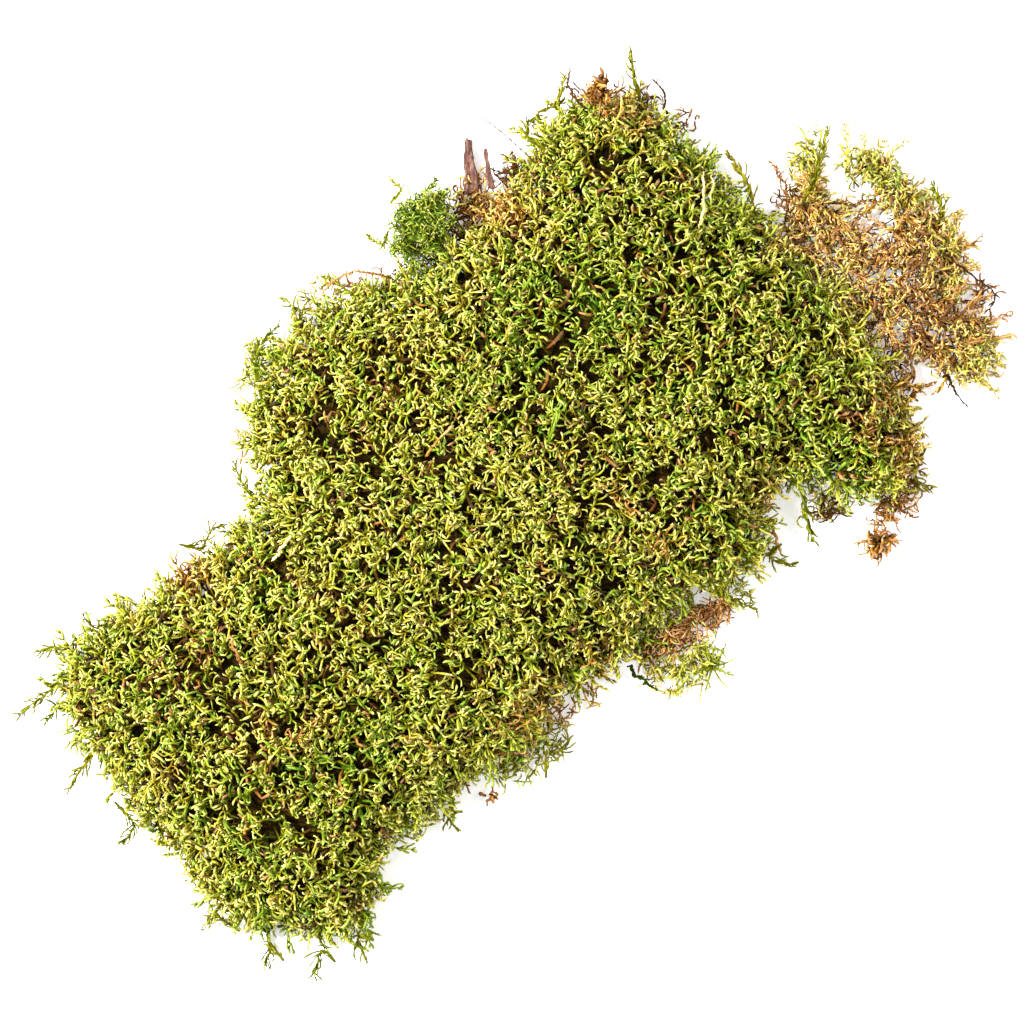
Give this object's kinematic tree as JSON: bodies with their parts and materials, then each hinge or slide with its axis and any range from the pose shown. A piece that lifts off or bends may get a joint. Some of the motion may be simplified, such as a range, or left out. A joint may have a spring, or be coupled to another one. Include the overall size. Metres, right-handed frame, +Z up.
{
  "type": "moss clump",
  "caption": "Peeled clump of feather moss lying flat: a thick, springy green mat with a loose dry end, a brighter tuft and bits of bark, husk and rootlet caught in it.",
  "frame": {"origin": "on the resting surface, under the middle of the clump's box", "axes": "+X along the clump's length towards its dry tan end, +Y towards the edge with the bark chip and the bright tuft, +Z up"},
  "size_m": [0.3189, 0.1859, 0.0356],
  "materials": {
    "moss_green": "yellow-green moss shoots, matt and fibrous",
    "bright_green": "fresh green moss shoots, matt and fibrous",
    "pale_shoot": "pale green single moss shoots, matt",
    "dry_tan": "dead moss shoots, tan to orange brown, matt",
    "bark_brown": "rough, split bark and dried shoots",
    "husk_tan": "dry leaf and husk, thin and matt",
    "dark_stem": "dark, wiry dead stems",
    "straw": "pale dry rootlets and fibres"
  },
  "bodies": {
    "root": {"arched_dry_stem": "dry_tan", "bark_chip": "bark_brown", "bark_splinter": "bark_brown", "black_bent_stem": "dark_stem", "bright_surface_shoot": "bright_green", "brown_crumb": "bark_brown", "brown_dead_shoot": "bark_brown", "brown_wiry_shoot": "bark_brown", "dark_crumb": "dark_stem", "dark_dried_shoot": "bark_brown", "dark_green_shoot": "moss_green", "dark_hook_stem": "dark_stem", "dead_frond": "dry_tan", "dry_leaf_scrap": "husk_tan", "dry_moss_lobe": "dry_tan", "dry_needle": "husk_tan", "fine_hair": "straw", "forked_rootlet": "straw", "green_tuft": "bright_green", "leaf_scrap_stalk": "bark_brown", "left_shoot_1": "pale_shoot", "left_shoot_2": "pale_shoot", "left_shoot_3": "pale_shoot", "left_shoot_4": "pale_shoot", "left_shoot_5": "pale_shoot", "left_shoot_6": "pale_shoot", "left_shoot_7": "pale_shoot", "left_shoot_8": "pale_shoot", "light_stick": "straw", "lower_shoot_1": "pale_shoot", "lower_shoot_2": "pale_shoot", "lower_shoot_3": "pale_shoot", "lower_shoot_4": "pale_shoot", "lower_shoot_5": "pale_shoot", "lower_shoot_6": "pale_shoot", "moss_mat": "moss_green", "orange_dead_shoot": "dry_tan", "pink_brown_stick": "husk_tan", "right_shoot_1": "pale_shoot", "right_shoot_2": "pale_shoot", "right_shoot_3": "pale_shoot", "rootlet_arm": "straw", "star_shoot": "bright_green", "tan_husk": "husk_tan", "thin_black_stalk": "dark_stem", "top_shoot_1": "pale_shoot", "top_shoot_2": "pale_shoot", "top_shoot_3": "pale_shoot", "top_shoot_4": "pale_shoot", "top_shoot_5": "pale_shoot", "top_shoot_6": "pale_shoot", "top_shoot_7": "pale_shoot", "top_shoot_8": "pale_shoot", "top_shoot_9": "pale_shoot", "tuft_shoot_1": "bright_green", "tuft_shoot_2": "bright_green", "tuft_shoot_3": "bright_green", "wiry_dead_shoot": "bark_brown"}
  },
  "joints": []
}
